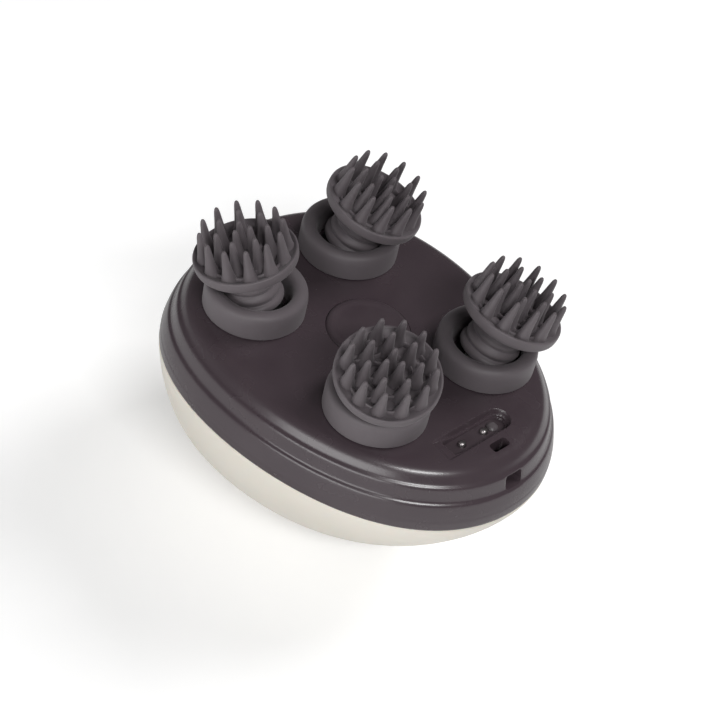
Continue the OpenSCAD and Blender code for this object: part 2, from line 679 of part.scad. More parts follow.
switch_size = 6;
switch_t = 3.4;
chip = [7, 7, 1.2];
plug_socket = [8, 6, 4];
capacitor_r = 2.5;
capacitor_h = 6;
plunger_r = 1.7;
plunger_rise = 0.8;
button_face = 1;             // its outer face, above the floor
button_flange_t = 1.1;
flange_z = dimple_depth + collar_boss_t + 0.1;
stem_gap = 0.3;              // left above the stem when the button is pressed

module circuit_board() color([0.12, 0.38, 0.22]) difference() {
    union() {
        translate([button_x - board_len / 2, -board_w / 2, board_z]) cube([board_len, board_w, board_t]);
        translate([button_x - board_len / 4, -board_w / 5, board_z + board_t]) cube(chip);
        translate([button_x + board_len / 8, board_w / 15, board_z + board_t]) cube(plug_socket);
        translate([button_x + board_len / 6, -board_w * 0.3, board_z + board_t])
            cylinder(r = capacitor_r, h = capacitor_h);
    }
    for (p = post_xy) translate([each p, board_z - 1]) cylinder(r = screw_r + fit, h = 4);
}

module board_screws() color(steel) for (p = post_xy) translate([each p, board_z + board_t]) {
    translate([0, 0, -board_screw_len]) cylinder(r = screw_r, h = board_screw_len + 0.2);
    cylinder(r = screw_head_r, h = screw_head_t);
}

module power_switch() color([0.15, 0.15, 0.16]) translate([button_x, 0, board_z - switch_t]) {
    translate([-switch_size / 2, -switch_size / 2, 0]) cube([switch_size, switch_size, switch_t]);
    translate([0, 0, -plunger_rise]) cylinder(r = plunger_r, h = plunger_rise + 0.5);
}

module power_button() color(shell_tone) translate([button_x, 0, 0]) {
    stem_top = board_z - switch_t - plunger_rise - button_travel - stem_gap;
    translate([0, 0, button_face]) cylinder(r1 = button_r - 0.5, r2 = button_r, h = 0.5);
    translate([0, 0, button_face + 0.5]) cylinder(r = button_r, h = flange_z - button_face);
    translate([0, 0, flange_z]) cylinder(r = button_r + 1.4, h = button_flange_t);
    translate([0, 0, flange_z + button_flange_t - 0.2])
        cylinder(r = 2, h = stem_top - flange_z - button_flange_t + 0.2);
}

// ---- Charging contacts ------------------------------------------------------------------

insert_top = recess_floor - 0.6;
insert_rim = 0.2;            // how far its flange stands past the recess
insert_flange_t = 1.2;
contact_r = 1.2;
contact_mid = -2.6;
contact_y = [contact_mid - contact_gap / 2, contact_mid + contact_gap / 2];
stud_y = contact_y[1] + 3.2;
stud_r = 1.7;

module charging_insert() color([0.12, 0.11, 0.12]) difference() {
    union() {
        translate([recess_x, 0, block_base])
            rounded_slot(window_w, window_from, window_to, insert_top - block_base);
        translate([recess_x - recess_w / 2 - insert_rim, recess_from - insert_rim, block_base - insert_flange_t])
            cube([recess_w + 2 * insert_rim, recess_to - recess_from + 2 * insert_rim, insert_flange_t]);
    }
    for (y = contact_y) translate([recess_x, y, block_base - 2]) cylinder(r = contact_r + fit, h = 10);
    translate([recess_x, stud_y, insert_top - 2.5]) cylinder(r = stud_r + fit, h = 5);
}

module charging_contacts() color([0.85, 0.80, 0.66]) for (y = contact_y)
    translate([recess_x, y, 0]) {
        translate([0, 0, block_base - 2.4]) cylinder(r = contact_r, h = insert_top - block_base + 2.4);
        translate([0, 0, insert_top]) intersection() {
            sphere(r = contact_r);
            cylinder(r = 2 * contact_r, h = 2 * contact_r);
        }
    }

module charging_stud() color([0.2, 0.2, 0.21]) translate([recess_x, stud_y, 0]) {
    translate([0, 0, insert_top - 2.4]) cylinder(r = stud_r, h = 2.6);
    translate([0, 0, insert_top + 0.2]) cylinder(r1 = stud_r, r2 = stud_r * 0.6, h = 0.7);
}

upper_shell();
lower_shell();
shell_seal();
centre_cap();
collar(1);  // collar_1
collar(2);  // collar_2
collar(3);  // collar_3
collar(4);  // collar_4
head_bush(1);  // head_bush_1
head_bush(2);  // head_bush_2
head_bush(3);  // head_bush_3
head_bush(4);  // head_bush_4
output_gear(1);  // output_gear_1
output_gear(2);  // output_gear_2
output_gear(3);  // output_gear_3
output_gear(4);  // output_gear_4
head_hub(1);  // head_hub_1
head_hub(2);  // head_hub_2
head_hub(3);  // head_hub_3
head_hub(4);  // head_hub_4
neck_boot(1);  // neck_boot_1
neck_boot(2);  // neck_boot_2
neck_boot(3);  // neck_boot_3
neck_boot(4);  // neck_boot_4
scalp_head(1);  // scalp_head_1
scalp_head(2);  // scalp_head_2
scalp_head(3);  // scalp_head_3
scalp_head(4);  // scalp_head_4
drive_gear();
drive_axle();
second_gear();
second_axle();
first_gear();
first_axle();
motor_pinion();
motor_shaft();
motor_body();
motor_screws();
gear_deck();
deck_screws();
battery_cell();
battery_cradle();
cradle_screws();
circuit_board();
board_screws();
power_switch();
power_button();
charging_insert();
charging_contacts();
charging_stud();
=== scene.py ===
import bpy
import math
import numpy as np
from mathutils import Matrix, Vector


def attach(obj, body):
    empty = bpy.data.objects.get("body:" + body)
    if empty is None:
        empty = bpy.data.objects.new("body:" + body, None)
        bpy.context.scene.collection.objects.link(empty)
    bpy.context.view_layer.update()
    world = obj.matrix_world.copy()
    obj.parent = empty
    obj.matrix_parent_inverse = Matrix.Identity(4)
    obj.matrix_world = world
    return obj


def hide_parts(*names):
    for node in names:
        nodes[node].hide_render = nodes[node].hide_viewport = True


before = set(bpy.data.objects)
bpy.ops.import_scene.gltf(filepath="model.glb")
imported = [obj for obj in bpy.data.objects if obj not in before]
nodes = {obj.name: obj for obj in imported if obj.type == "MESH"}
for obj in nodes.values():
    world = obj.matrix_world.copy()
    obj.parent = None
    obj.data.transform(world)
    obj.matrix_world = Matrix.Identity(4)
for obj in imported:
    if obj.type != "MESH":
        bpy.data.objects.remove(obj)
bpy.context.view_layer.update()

mm = 0.001
rad = math.radians
print("frame loaded:", len(nodes), "nodes")

# The view

view = dict(place=(252.7, -331.6, 439.85), aim=(-1.8, 0.3, 50.0), roll=14.0, focal=101.4, sensor=36.0)

camera = bpy.data.cameras.new("studioCamera")
camera.lens = view["focal"]
camera.sensor_width = view["sensor"]
camera.clip_end = 20
cameraObject = bpy.data.objects.new("studioCamera", camera)
bpy.context.scene.collection.objects.link(cameraObject)
towards = Vector(view["aim"]) - Vector(view["place"])
cameraObject.matrix_world = (Matrix.Translation(Vector(view["place"]) * mm)
                             @ towards.to_track_quat("-Z", "Y").to_matrix().to_4x4()
                             @ Matrix.Rotation(rad(view["roll"]), 4, "Z"))
bpy.context.scene.camera = cameraObject


# Mesh makers; every shape is worked out in millimetres

# Quads between neighbouring rows of a grid of points whose columns run once round. ends says what
# closes it: "loop" joins the last row to the first, "poles" ends both in a point
def gridFaces(points, ends):
    rows, columns = points.shape[:2]
    index = np.arange(rows * columns).reshape(rows, columns)
    above = np.roll(index, -1, axis=0) if ends == "loop" else index[1:]
    below = index if ends == "loop" else index[:-1]
    quads = np.stack([below, np.roll(below, -1, 1), np.roll(above, -1, 1), above], -1).reshape(-1, 4)
    verts = points.reshape(-1, 3)
    fans = np.zeros((0, 3), int)
    if ends == "poles":
        for ring, pole in ((index[0][::-1], points[0].mean(0)), (index[-1], points[-1].mean(0))):
            verts = np.vstack([verts, pole])
            tip = np.full(columns, len(verts) - 1)
            fans = np.vstack([fans, np.stack([ring, np.roll(ring, -1), tip], -1)])
    return verts, quads, fans


# Six times the volume is the sum of the triple products of all triangles; below zero, the faces turn
def facedOutwards(verts, quads, fans):
    tris = np.vstack([quads[:, :3], quads[:, [0, 2, 3]], fans])
    a, b, c = verts[tris[:, 0]], verts[tris[:, 1]], verts[tris[:, 2]]
    if np.einsum("ij,ij->i", a, np.cross(b, c)).sum() < 0:
        return verts, quads[:, ::-1], fans[:, ::-1]
    return verts, quads, fans


# Joins shells of (verts, quads, fans) into one object, smooth shaded, in metres
def makePiece(name, shells, sharpAbove=None):
    verts, quads, fans, start = [], [], [], 0
    for v, q, f in shells:
        verts.append(v)
        quads.append(q + start)
        fans.append(f + start)
        start += len(v)
    mesh = bpy.data.meshes.new(name)
    faces = np.vstack(quads).tolist() + np.vstack(fans).tolist()
    mesh.from_pydata((np.vstack(verts) * mm).tolist(), [], faces)
    mesh.validate()
    mesh.shade_smooth()
    if sharpAbove:
        mesh.set_sharp_from_angle(angle=rad(sharpAbove))
    piece = bpy.data.objects.new(name, mesh)
    bpy.context.scene.collection.objects.link(piece)
    return piece


# Cuts each corner of an open line at a quarter and three quarters of its sides, so it ends up as a
# quadratic spline; the two ends stay where they are
def softened(line, times=3):
    line = np.asarray(line, float)
    for _ in range(times):
        near = line[:-1] * 0.75 + line[1:] * 0.25
        far = line[:-1] * 0.25 + line[1:] * 0.75
        line = np.vstack([line[:1], np.stack([near, far], 1).reshape(-1, line.shape[1]), line[-1:]])
    return line


# The same line with points at equal steps of its own length
def evenly(line, step):
    run = np.concatenate([[0], np.cumsum(np.linalg.norm(np.diff(line, axis=0), axis=1))])
    at = np.linspace(0, run[-1], max(2, int(round(run[-1] / step)) + 1))
    return np.stack([np.interp(at, run, line[:, k]) for k in range(line.shape[1])], 1)


# A profile of (radius, height) turned round Z: x = r cos t, y = r sin t
def turned(profile, columns):
    t = np.linspace(0, 2 * np.pi, columns, endpoint=False)
    r, z = profile[:, :1], profile[:, 1:]
    return np.stack([r * np.cos(t), r * np.sin(t), z + 0 * t], -1)


# 0 up to a, 1 from b on, and 3u² - 2u³ between
def smoothStep(value, a, b):
    u = np.clip((value - a) / (b - a), 0, 1)
    return u * u * (3 - 2 * u)


# Turns points about Z by turn and moves them
def placed(points, turn, move):
    c, s = math.cos(rad(turn)), math.sin(rad(turn))
    return points @ np.array([[c, s, 0], [-s, c, 0], [0, 0, 1]]) + np.array(move)


# Gives a piece its finish and the body it rides on, and hides the nodes that it stands for
def rideAs(piece, body, slot, material, *replaced):
    piece.data.materials.clear()
    piece.data.materials.append(material)
    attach(piece, body)
    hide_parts(*replaced)
    return piece


# Finishes

# A new material: its node tree, its shader and an adder that links what it is given
def newFinish(name, **sockets):
    finish = bpy.data.materials.new(name)
    finish.use_nodes = True
    tree = finish.node_tree
    shader = tree.nodes["Principled BSDF"]
    for key, value in sockets.items():
        shader.inputs[key.replace("_", " ")].default_value = value
    where = tree.nodes.new("ShaderNodeTexCoord").outputs["Object"]

    def add(kind, links=None, **values):
        node = tree.nodes.new("ShaderNode" + kind)
        for key, value in values.items():
            if key in node.inputs:
                node.inputs[key].default_value = value
            else:
                setattr(node, key, value)
        for key, source in (links or {}).items():
            tree.links.new(source, node.inputs[key])
        return node

    return finish, tree, shader, where, add


# A value stretched from one range to another
def stretched(add, value, given, wanted=(0.0, 1.0)):
    node = add("MapRange", {"Value": value})
    for key, number in zip(("From Min", "From Max", "To Min", "To Max"), (*given, *wanted)):
        node.inputs[key].default_value = number
    return node.outputs["Result"]


# A colour between two tones; 6, 7 and 2 are the colour sockets of the Mix node
def blended(add, factor, first, second):
    node = add("Mix", {"Factor": factor}, data_type="RGBA")
    node.inputs[6].default_value, node.inputs[7].default_value = (*first, 1), (*second, 1)
    return node.outputs[2]


# A bump whose height is the given value, joined to the shader
def bumped(add, tree, shader, height, strength, distance):
    bump = add("Bump", {"Height": height}, Strength=strength, Distance=distance)
    tree.links.new(bump.outputs["Normal"], shader.inputs["Normal"])


moulded = dict(
    sheenRoughness=0.45, softDepth=0.002,
    toneRange=(0.35, 0.65), shineRange=(0.3, 0.7),   # of each noise, from one limit to the other
    shinePatch=2,                                    # times finer than the patches of colour
    bump=0.2,
)


# Colour between two tones by a broad noise, roughness between two limits by a middle noise, and a
# bump whose height is a fine noise: what moulding, handling and the mould's own surface leave
def mouldedFinish(name, tone, worn, rough, grain, depth, patch=60.0, sheen=0.0, soft=0.0, gloss=0.5):
    finish, tree, shader, where, add = newFinish(
        name, Specular_IOR_Level=gloss, Sheen_Weight=sheen, Sheen_Roughness=moulded["sheenRoughness"],
        Subsurface_Weight=soft, Subsurface_Scale=moulded["softDepth"])
    broad = add("TexNoise", {"Vector": where}, Scale=patch, Detail=3.0, Roughness=0.55)
    middle = add("TexNoise", {"Vector": where}, Scale=patch * moulded["shinePatch"], Detail=3.0,
                 Roughness=0.5)
    fine = add("TexNoise", {"Vector": where}, Scale=grain, Detail=2.0, Roughness=0.5)
    share = stretched(add, broad.outputs["Fac"], moulded["toneRange"])
    shine = stretched(add, middle.outputs["Fac"], moulded["shineRange"], rough)
    tree.links.new(blended(add, share, tone, worn), shader.inputs["Base Color"])
    tree.links.new(shine, shader.inputs["Roughness"])
    bumped(add, tree, shader, fine.outputs["Fac"], moulded["bump"], depth)
    return finish


shellSatin = mouldedFinish("shellSatin", (0.050, 0.036, 0.043), (0.055, 0.040, 0.047), (0.26, 0.28),
                           grain=1400, depth=0.000012, gloss=0.75)
collarSilicone = mouldedFinish("collarSilicone", (0.105, 0.090, 0.098), (0.115, 0.100, 0.108),
                               (0.50, 0.60), grain=1500, depth=0.00001, sheen=0.1, gloss=0.5)
headSilicone = mouldedFinish("headSilicone", (0.105, 0.090, 0.098), (0.118, 0.102, 0.110),
                             (0.50, 0.62), grain=1500, depth=0.00001, patch=110, sheen=0.1, gloss=0.5)
ivorySatin = mouldedFinish("ivorySatin", (0.76, 0.72, 0.64), (0.79, 0.75, 0.67), (0.32, 0.42),
                           grain=1400, depth=0.00001, patch=45, soft=0.08)
capSatin = mouldedFinish("capSatin", (0.050, 0.036, 0.043), (0.058, 0.043, 0.050), (0.28, 0.34),
                         grain=1400, depth=0.000012, patch=90, gloss=0.75)
buttonSatin = mouldedFinish("buttonSatin", (0.058, 0.044, 0.051), (0.066, 0.051, 0.058), (0.34, 0.44),
                            grain=3000, depth=0.00003, patch=120)
insertPlastic = mouldedFinish("insertPlastic", (0.050, 0.037, 0.043), (0.057, 0.043, 0.049),
                              (0.36, 0.48), grain=3000, depth=0.00003, patch=150)
studGloss = mouldedFinish("studGloss", (0.075, 0.063, 0.069), (0.090, 0.077, 0.083), (0.34, 0.44),
                          grain=2000, depth=0.00001, patch=200)
sealRubber = mouldedFinish("sealRubber", (0.020, 0.020, 0.021), (0.030, 0.029, 0.030), (0.60, 0.75),
                           grain=1800, depth=0.00004, patch=80)
whiteNylon = mouldedFinish("whiteNylon", (0.74, 0.73, 0.68), (0.80, 0.79, 0.74), (0.34, 0.50),
                           grain=1500, depth=0.00003, patch=120, soft=0.1)
blueNylon = mouldedFinish("blueNylon", (0.045, 0.150, 0.330), (0.060, 0.180, 0.370), (0.34, 0.50),
                          grain=1500, depth=0.00003, patch=120)
redNylon = mouldedFinish("redNylon", (0.350, 0.050, 0.042), (0.410, 0.070, 0.058), (0.34, 0.50),
                         grain=1500, depth=0.00003, patch=120)
hubPlastic = mouldedFinish("hubPlastic", (0.56, 0.56, 0.54), (0.62, 0.62, 0.60), (0.38, 0.52),
                           grain=1600, depth=0.00003, patch=100)
bushAcetal = mouldedFinish("bushAcetal", (0.022, 0.021, 0.022), (0.030, 0.029, 0.030), (0.35, 0.50),
                           grain=2000, depth=0.00002, patch=120)
deckPlastic = mouldedFinish("deckPlastic", (0.62, 0.61, 0.57), (0.68, 0.67, 0.63), (0.40, 0.55),
                            grain=1600, depth=0.00004, patch=70)
switchPlastic = mouldedFinish("switchPlastic", (0.022, 0.022, 0.024), (0.032, 0.032, 0.034),
                              (0.40, 0.55), grain=2400, depth=0.00002, patch=200)


# Metal whose tool marks are a noise stretched along one axis: it moves both roughness and bump
def machinedFinish(name, tone, rough, marks, stretch):
    finish, tree, shader, where, add = newFinish(name, Metallic=1.0, Base_Color=(*tone, 1))
    along = add("Mapping", {"Vector": where})
    along.inputs["Scale"].default_value = stretch
    lines = add("TexNoise", {"Vector": along.outputs["Vector"]}, Scale=marks, Detail=4.0)
    shine = stretched(add, lines.outputs["Fac"], (0.0, 1.0), rough)
    tree.links.new(shine, shader.inputs["Roughness"])
    bumped(add, tree, shader, lines.outputs["Fac"], strength=0.2, distance=0.00002)
    return finish


groundSteel = machinedFinish("groundSteel", (0.62, 0.63, 0.65), (0.18, 0.38), 700, (1, 1, 6))
motorCan = machinedFinish("motorCan", (0.50, 0.51, 0.53), (0.28, 0.46), 400, (1, 1, 8))
turnedBronze = machinedFinish("turnedBronze", (0.62, 0.44, 0.20), (0.26, 0.44), 600, (1, 1, 10))
platedContact = machinedFinish("platedContact", (0.46, 0.43, 0.43), (0.34, 0.46), 900, (1, 1, 3))


# Shrink wrap: a gloss film whose colour changes to a pale band where |y| is above the reach, and
# whose roughness and bump are a noise stretched into faint wrinkles along the cell
def wrapFinish(name, tone, band, reach):
    finish, tree, shader, where, add = newFinish(name)
    split = add("SeparateXYZ", {"Vector": where})
    away = add("Math", {0: split.outputs["Y"]}, operation="ABSOLUTE")
    atEnd = add("Math", {0: away.outputs[0]}, operation="GREATER_THAN")
    atEnd.inputs[1].default_value = reach
    tree.links.new(blended(add, atEnd.outputs[0], tone, band), shader.inputs["Base Color"])
    along = add("Mapping", {"Vector": where})
    along.inputs["Scale"].default_value = (6, 1, 6)
    wrinkle = add("TexNoise", {"Vector": along.outputs["Vector"]}, Scale=120.0, Detail=3.0)
    shine = stretched(add, wrinkle.outputs["Fac"], (0.0, 1.0), (0.12, 0.3))
    tree.links.new(shine, shader.inputs["Roughness"])
    bumped(add, tree, shader, wrinkle.outputs["Fac"], strength=0.3, distance=0.00008)
    return finish


cellWrap = wrapFinish("cellWrap", (0.025, 0.150, 0.320), (0.55, 0.56, 0.57), reach=0.0315)


# Solder mask: where the distance to the edge of a Voronoi cell is below a limit lies a track, paler
# and higher than the board; a noise moves the roughness
def boardFinish(name, mask, track):
    finish, tree, shader, where, add = newFinish(name)
    cells = add("TexVoronoi", {"Vector": where}, feature="DISTANCE_TO_EDGE", Scale=420.0)
    line = add("Math", {0: cells.outputs["Distance"]}, operation="LESS_THAN")
    line.inputs[1].default_value = 0.08   # half a track's width, as a share of a cell
    tree.links.new(blended(add, line.outputs[0], mask, track), shader.inputs["Base Color"])
    speckle = add("TexNoise", {"Vector": where}, Scale=900.0, Detail=2.0)
    shine = stretched(add, speckle.outputs["Fac"], (0.0, 1.0), (0.18, 0.34))
    tree.links.new(shine, shader.inputs["Roughness"])
    bumped(add, tree, shader, line.outputs[0], strength=0.4, distance=0.00004)
    return finish


boardMask = boardFinish("boardMask", (0.012, 0.085, 0.032), (0.022, 0.140, 0.055))
print("finishes made")

# The casing

body = dict(
    halfLength=60.0, halfWidth=48.5,   # at the joint line
    egg=0.12,                          # the charging end is narrower
    plump=0.064,                       # how much fuller than an ellipse, at the quarters
    jointHeight=45.0,
    wall=2.4,
)
jointHeight = body["jointHeight"]


# The oval: x = a cos t (1 + p sin² t), y = b sin t (1 + p cos² t)(1 - e cos t)
def oval(a, b, t):
    c, s = np.cos(t), np.sin(t)
    x = a * c * (1 + body["plump"] * s * s)
    y = b * s * (1 + body["plump"] * c * c) * (1 - body["egg"] * c)
    return x, y


# A ring for each (inset, height), stacked as rows of a grid
def insetRings(profile, t):
    inset, height = profile[:, :1], profile[:, 1:2]
    x, y = oval(body["halfLength"] - inset, body["halfWidth"] - inset, t)
    return np.stack([x, y, height + 0 * t], -1)


upper = dict(
    # inset from the outline and height above the joint line, going up the three tiers
    rim=[(0.30, 0.0), (0.0, 0.3), (0.0, 1.6), (0.08, 3.1), (0.24, 3.45), (0.36, 4.3), (0.50, 5.0),
         (0.90, 6.6), (1.25, 7.8), (1.55, 8.35), (1.95, 8.65), (2.25, 9.05), (2.5, 9.9), (2.85, 11.4),
         (3.15, 12.5), (3.5, 13.05), (3.95, 13.35), (4.3, 13.75), (4.7, 14.4), (5.3, 15.4), (6.1, 16.3),
         (7.3, 17.05), (9.0, 17.5), (11.2, 17.74), (13.5, 17.8)],
    inner=[(13.0, 15.4), (11.0, 14.8), (9.4, 13.8), (6.9, 11.5), (4.5, 7.6), (2.7, 3.5), (2.4, 0.0)],
    rimStep=0.25, innerStep=0.7,
    fineTurn=(-32.0, 22.0), fineStep=0.34, coarseStep=1.2,   # degrees round the oval
    plateHeight=17.8, roofHeight=15.4,
    plateShares=((1, 0.76, 62), (0.76, 0.04, 22)),   # rows over the plate, close where it is carved
    roofShares=((0.04, 0.7, 14), (0.7, 1, 26)),      # rows under the roof
    carvedFrom=14.5,                                 # only what lies above this is carved
    sharp=38,
)
recess = dict(x=42.7, width=7.4, low=-15.6, high=9.9, corner=0.5, shallow=0.35, deep=1.95,
              rampFrom=-15.6, rampTo=-5.0, edge=0.55,
              windowWidth=5.2, windowLow=-12.6, windowHigh=8.8, windowDepth=1.3, windowEdge=0.35)
eye = dict(x=49.7, slotLength=2.8, width=6.0, base=8.6, height=4.1, corner=0.9, lip=0.12, lipReach=0.4,
           holeFrom=50.0, holeUpTo=13.4, mouth=64.0, slotFloor=1.0, columns=64)
# blocks of wall that hang down inside round the recess and the eye
recessWall = dict(width=10.0, low=-16.8, high=11.2, hang=3.55)
eyeWall = dict(x=52.5, halfLength=5.8, halfWidth=4.6, hang=8.4)
blockWall = dict(corner=0.5, soft=0.3)
headHole = dict(bore=7.05, seat=8.45, seatDepth=1.05, columns=96)
cutOver = 3.0   # how far a cutter stands out of what it cuts


# Distance from a round-cornered box, below zero inside
def boxDistance(u, v, halfU, halfV, corner):
    du, dv = np.abs(u) - halfU + corner, np.abs(v) - halfV + corner
    return np.hypot(np.maximum(du, 0), np.maximum(dv, 0)) + np.minimum(np.maximum(du, dv), 0) - corner


# The same from a slot that is square at its low end and round at its high one: a round-cornered box
# up to the centre of the round end, a circle past it
def slotDistance(x, y, centre, width, low, high, corner):
    half = width / 2
    turnAt = high - half
    box = boxDistance(x - centre, y - (low + high) / 2, half, (high - low) / 2, corner)
    end = np.hypot(x - centre, y - turnAt) - half
    return np.where(y > turnAt, end, box)


# Depth of the soft lip of the eye at a distance d from its edge: l exp(-(d / r)²)
def eyeLip(distance):
    return eye["lip"] * np.exp(-(np.maximum(distance, 0) / eye["lipReach"]) ** 2)


# How far the head plate lies below its own height: the recess ramps down from its square end and
# has a window cut in its floor, and the lanyard slot has a soft lip
def plateDrop(x, y):
    outer = slotDistance(x, y, recess["x"], recess["width"], recess["low"], recess["high"],
                         recess["corner"])
    deep = recess["shallow"] + (recess["deep"] - recess["shallow"]) * smoothStep(
        y, recess["rampFrom"], recess["rampTo"])
    drop = deep * smoothStep(-outer, -0.1, recess["edge"])
    window = slotDistance(x, y, recess["x"], recess["windowWidth"], recess["windowLow"],
                          recess["windowHigh"], recess["corner"])
    floor = recess["deep"] + recess["windowDepth"]
    drop = drop + (floor - drop) * smoothStep(-window, 0.0, recess["windowEdge"])
    slot = boxDistance(x - eye["x"], y, eye["slotLength"] / 2, eye["width"] / 2, eye["corner"])
    return drop + eyeLip(slot)


# A straight bar along Z from low to high: its section is a circle of the corner radius whose
# quarters are pulled apart to the corners of a box
def roundedBar(halfU, halfV, corner, low, high):
    t = np.linspace(0, 2 * np.pi, eye["columns"], endpoint=False)
    steep = 10   # the pull changes side over a tenth of the circle's radius
    u = np.clip(np.cos(t) * steep, -1, 1) * (halfU - corner) + corner * np.cos(t)
    v = np.clip(np.sin(t) * steep, -1, 1) * (halfV - corner) + corner * np.sin(t)
    rows = np.array([low, high])[:, None]
    return np.stack([u + 0 * rows, v + 0 * rows, rows + 0 * t], -1)


# Cuts closed shells out of a piece, one after another
def cutAway(piece, shells):
    for shell in shells:
        tool = makePiece("cutter", [shell])
        modifier = piece.modifiers.new("cut", "BOOLEAN")
        modifier.operation, modifier.solver, modifier.object = "DIFFERENCE", "EXACT", tool
        bpy.context.view_layer.objects.active = piece
        bpy.ops.object.modifier_apply(modifier=modifier.name)
        bpy.data.objects.remove(tool)


heads = dict(
    drive=(-3.0, 1.2), reach=32.5, turns=(-136.5, 148.5, -40.5, 34.5),
    leans=(220, 45, 320, 65), tilt=16.0, axisRise=1.0, discUp=15.5,
    phases=(16, 7, 17, 20),            # turn of the prongs on each head
)
plateTop = jointHeight + upper["plateHeight"]
headPlaces = [(heads["drive"][0] + heads["reach"] * math.cos(rad(a)),
               heads["drive"][1] + heads["reach"] * math.sin(rad(a))) for a in heads["turns"]]
cap = dict(x=-2.2, radius=12.0, seat=1.05, play=0.05,
           profile=[(0.0, 0.3), (8.6, 0.34), (9.5, 0.52), (10.4, 0.72), (11.2, 0.66), (11.75, 0.3),
                    (12.0, -0.1), (12.0, -1.0), (0.0, -1.0)],
           columns=128, step=0.25)


# Outside of the shell: rings of the oval up the rim's profile, then the same rings shrunk towards the
# middle over the plate, lowered by what is carved into it
def outerSkin(t):
    outside = insetRings(evenly(softened(upper["rim"], 2), upper["rimStep"]), t)
    hole = boxDistance(outside[..., 1], outside[..., 2] - eye["base"] - eye["height"] / 2,
                       eye["width"] / 2, eye["height"] / 2, eye["corner"])
    nearHole = (outside[..., 0] > eye["holeFrom"]) & (outside[..., 2] < eye["holeUpTo"])
    outside[..., 0] -= np.where(nearHole, eyeLip(hole), 0)
    edge = outside[-1]
    share = np.concatenate([np.linspace(*span)[1:] for span in upper["plateShares"]])
    plate = np.stack([edge[:, 0] * share[:, None], edge[:, 1] * share[:, None],
                      np.full((len(share), len(t)), upper["plateHeight"])], -1)
    outside = np.concatenate([outside, plate])
    carved = outside[..., 2] > upper["carvedFrom"]
    outside[..., 2] -= plateDrop(outside[..., 0], outside[..., 1]) * carved
    return outside


# Inside of the shell, from its pole outwards under the roof and down the wall, with the blocks that
# hang down round the recess and the eye
def innerSkin(t):
    low = insetRings(evenly(np.array(upper["inner"]), upper["innerStep"]), t)
    first, second = (np.linspace(*span) for span in upper["roofShares"])
    share = np.concatenate([first, second[1:-1]])
    roof = np.stack([low[0, :, 0] * share[:, None], low[0, :, 1] * share[:, None],
                     np.full((len(share), len(t)), upper["roofHeight"])], -1)
    inside = np.concatenate([roof, low])
    x, y = inside[..., 0], inside[..., 1]
    corner, soft = blockWall["corner"], blockWall["soft"]
    toRecess = slotDistance(x, y, recess["x"], recessWall["width"], recessWall["low"],
                            recessWall["high"], corner)
    toEye = boxDistance(x - eyeWall["x"], y, eyeWall["halfLength"], eyeWall["halfWidth"], corner)
    for distance, hang in ((toRecess, recessWall["hang"]), (toEye, eyeWall["hang"])):
        block = upper["roofHeight"] - hang * smoothStep(-distance, -soft, soft)
        inside[..., 2] = np.minimum(inside[..., 2], block)
    return inside


# One closed skin: up the outside to its pole, from the inner pole down the inside, and round below
def closedSkin(outside, inside):
    rows = np.concatenate([outside, inside])
    count, columns = rows.shape[:2]
    turnRow = len(outside) - 1
    verts, quads, _ = gridFaces(rows, "loop")
    keep = np.ones((count, columns), bool)
    keep[turnRow] = False
    quads = quads[keep.reshape(-1)]
    index = np.arange(count * columns).reshape(count, columns)
    poles = np.array([rows[turnRow].mean(0), rows[turnRow + 1].mean(0)])
    first, second = len(verts), len(verts) + 1
    up, down = index[turnRow], index[turnRow + 1][::-1]
    fans = np.vstack([np.stack([up, np.roll(up, -1), np.full(columns, first)], -1),
                      np.stack([down, np.roll(down, -1), np.full(columns, second)], -1)])
    return facedOutwards(np.vstack([verts, poles]), quads, fans)


# What is cut out of the shell: a stepped hole for each head, the cap's seat, and the eye's side hole
# and slot
def shellCutters():
    top = plateTop + cutOver
    underRoof = jointHeight + upper["roofHeight"] - cutOver
    rounds = []   # radius, bottom, columns and place of each
    for place in headPlaces:
        rounds.append((headHole["bore"], underRoof, headHole["columns"], place))
        rounds.append((headHole["seat"], plateTop - headHole["seatDepth"], headHole["columns"], place))
    rounds.append((cap["radius"] + cap["play"], plateTop - cap["seat"], cap["columns"], (cap["x"], 0)))
    bars = [turned(np.array([[radius, bottom], [radius, top]]), columns) + np.array([*place, 0])
            for radius, bottom, columns, place in rounds]
    side = roundedBar(eye["width"] / 2, eye["height"] / 2, eye["corner"],
                      eye["x"] - eye["slotLength"] / 2, eye["mouth"])[..., [2, 0, 1]]
    side[..., 2] += jointHeight + eye["base"] + eye["height"] / 2
    slot = roundedBar(eye["slotLength"] / 2, eye["width"] / 2, eye["corner"],
                      jointHeight + eye["base"] + eye["slotFloor"], top)
    slot[..., 0] += eye["x"]
    return [facedOutwards(*gridFaces(bar, "poles")) for bar in (*bars, side, slot)]


# The upper shell; its columns are close at the charging end, where the recess and the eye lie
def makeUpperShell():
    fineFrom, fineTo = upper["fineTurn"]
    fine = np.arange(fineFrom, fineTo, upper["fineStep"])
    coarse = np.arange(fineTo, fineFrom + 360, upper["coarseStep"])
    t = np.radians(np.concatenate([fine, coarse]))
    outside, inside = outerSkin(t), innerSkin(t)
    outside[..., 2] += jointHeight
    inside[..., 2] += jointHeight
    shell = makePiece("casing_upper", [closedSkin(outside, inside)])
    cutAway(shell, shellCutters())
    shell.data.set_sharp_from_angle(angle=rad(upper["sharp"]))
    return shell


upperShell = rideAs(makeUpperShell(), "casing", "shell_plastic", shellSatin, "upper_shell")
print("upper shell:", len(upperShell.data.polygons), "faces")

# The dome

